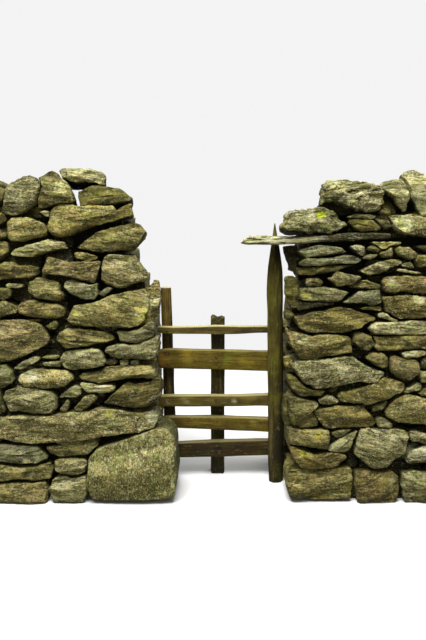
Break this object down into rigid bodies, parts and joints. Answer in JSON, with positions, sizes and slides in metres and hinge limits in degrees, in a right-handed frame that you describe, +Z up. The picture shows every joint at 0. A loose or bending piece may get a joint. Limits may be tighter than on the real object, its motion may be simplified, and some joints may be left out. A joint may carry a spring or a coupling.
{
  "type": "stone wall stile",
  "caption": "Gap stile in a dry-stone wall: squared stone heads, copes, and a timber rail fence with a pointed handhold post tied by a slab.",
  "frame": {"origin": "middle of the gap at ground level, half way through the wall's thickness", "axes": "+X along the wall to the right, +Y away from the side that the rails and the tall post show from, +Z up"},
  "size_m": [2.8, 0.7452, 1.61],
  "materials": {
    "wall_stone": "rough, weathered, with lichen and moss",
    "tie_stone": "rough, pale where the weather reaches it",
    "post_timber": "weathered, unpainted",
    "rail_timber": "weathered, unpainted"
  },
  "bodies": {
    "root": {"bottom_rail": "rail_timber", "fourth_rail": "rail_timber", "left_base_slab": "wall_stone", "left_cap_stone": "wall_stone", "left_dark_head": "wall_stone", "left_end_cope": "wall_stone", "left_far_cope": "wall_stone", "left_footing_boulder": "wall_stone", "left_great_head": "wall_stone", "left_leaning_cope": "wall_stone", "left_long_flat": "wall_stone", "left_lower_flat_head": "wall_stone", "left_outer_cope": "wall_stone", "left_post": "post_timber", "left_round_cope": "wall_stone", "left_square_head": "wall_stone", "left_top_slab": "wall_stone", "left_upper_flat_head": "wall_stone", "left_wall": "wall_stone", "left_wedge_head": "wall_stone", "middle_post": "post_timber", "right_corner_stone": "wall_stone", "right_far_cope": "wall_stone", "right_foot_stone": "wall_stone", "right_great_head": "wall_stone", "right_lap_stone": "wall_stone", "right_layered_cope": "wall_stone", "right_leaning_cope": "wall_stone", "right_leaning_head": "wall_stone", "right_long_head": "wall_stone", "right_low_block": "wall_stone", "right_outer_cope": "wall_stone", "right_shelf_stone": "wall_stone", "right_squared_head": "wall_stone", "right_upper_head": "wall_stone", "right_upright_cope": "wall_stone", "right_wall": "wall_stone", "right_wedge_stone": "wall_stone", "second_rail": "rail_timber", "tall_post": "post_timber", "third_rail": "rail_timber", "tie_slab": "tie_stone", "top_rail": "rail_timber"}
  },
  "joints": []
}
